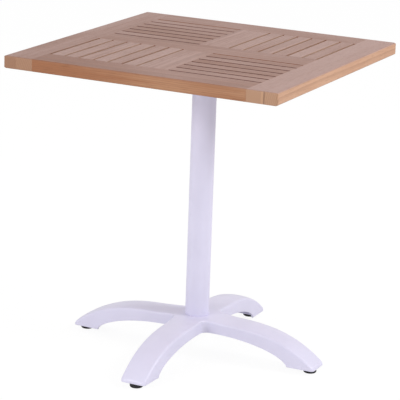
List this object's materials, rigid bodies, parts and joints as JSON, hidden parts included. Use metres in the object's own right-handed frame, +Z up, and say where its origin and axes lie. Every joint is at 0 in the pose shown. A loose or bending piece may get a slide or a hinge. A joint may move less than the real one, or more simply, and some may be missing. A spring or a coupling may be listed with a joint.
{
  "type": "folding bistro table",
  "caption": "Square slatted hardwood table top that tilts upright on a round white column with a low four-armed star base, held level by a sprung latch under the top.",
  "frame": {"origin": "on the floor under the middle of the top", "axes": "+Z up; -Y is the front, whose edge drops when the top folds; +X is the right"},
  "size_m": [0.68, 0.68, 0.738],
  "materials": {
    "teak_frame": "fine sanded and oiled, straight grain along each board",
    "teak_slat": "fine sanded and oiled, straight grain along each slat",
    "white_metal": "satin white powder coat",
    "zinc_steel": "bright zinc plated",
    "black_rubber": "matt moulded",
    "black_plastic": "fine textured moulding",
    "nylon": "natural, smooth"
  },
  "bodies": {
    "base": {"star_base": "white_metal", "column_tube": "white_metal", "tie_rod": "zinc_steel", "tie_rod_nut": "zinc_steel", "tie_rod_washer": "zinc_steel", "pivot_head": "white_metal", "bush_left": "nylon", "bush_right": "nylon", "rest_buffer": "black_rubber"},
    "tabletop": {"stile_left_outer": "teak_frame", "stile_left_inner": "teak_frame", "stile_right_inner": "teak_frame", "stile_right_outer": "teak_frame", "rail_front": "teak_frame", "rail_middle": "teak_frame", "rail_back": "teak_frame", "divider_front": "teak_frame", "divider_back": "teak_frame", "slat_fl_1": "teak_slat", "slat_fl_2": "teak_slat", "slat_fl_3": "teak_slat", "slat_fl_4": "teak_slat", "slat_fl_5": "teak_slat", "slat_fl_6": "teak_slat", "slat_fr_1": "teak_slat", "slat_fr_2": "teak_slat", "slat_fr_3": "teak_slat", "slat_fr_4": "teak_slat", "slat_fr_5": "teak_slat", "slat_fr_6": "teak_slat", "slat_br_1": "teak_slat", "slat_br_2": "teak_slat", "slat_br_3": "teak_slat", "slat_br_4": "teak_slat", "slat_br_5": "teak_slat", "slat_br_6": "teak_slat", "slat_bl_1": "teak_slat", "slat_bl_2": "teak_slat", "slat_bl_3": "teak_slat", "slat_bl_4": "teak_slat", "slat_bl_5": "teak_slat", "slat_bl_6": "teak_slat", "top_bracket": "white_metal", "bracket_screws": "zinc_steel", "pivot_pin": "zinc_steel", "pin_ring": "zinc_steel", "latch_pin": "zinc_steel", "latch_spring": "zinc_steel"},
    "latch": {"latch_lever": "black_plastic"},
    "glide_right": {"glide_pad_right": "black_rubber", "glide_stud_right": "zinc_steel"},
    "glide_back": {"glide_pad_back": "black_rubber", "glide_stud_back": "zinc_steel"},
    "glide_left": {"glide_pad_left": "black_rubber", "glide_stud_left": "zinc_steel"},
    "glide_front": {"glide_pad_front": "black_rubber", "glide_stud_front": "zinc_steel"}
  },
  "joints": [
    {"name": "top_tilt", "type": "hinge", "parent": "base", "child": "tabletop", "pos_m": [0, -0.02, 0.679], "axis": [1, 0, 0], "range_deg": [0, 90]},
    {"name": "latch_release", "type": "hinge", "parent": "tabletop", "child": "latch", "pos_m": [0, 0.052, 0.688], "axis": [1, 0, 0], "range_deg": [0, 20], "stiffness_Nm_per_rad": 0.2, "springref_deg": -20.05, "deforming": ["latch_spring"]},
    {"name": "glide_right_screw", "type": "slide", "parent": "base", "child": "glide_right", "axis": [0, 0, -1], "range_m": [0, 0.008]},
    {"name": "glide_back_screw", "type": "slide", "parent": "base", "child": "glide_back", "axis": [0, 0, -1], "range_m": [0, 0.008]},
    {"name": "glide_left_screw", "type": "slide", "parent": "base", "child": "glide_left", "axis": [0, 0, -1], "range_m": [0, 0.008]},
    {"name": "glide_front_screw", "type": "slide", "parent": "base", "child": "glide_front", "axis": [0, 0, -1], "range_m": [0, 0.008]}
  ]
}
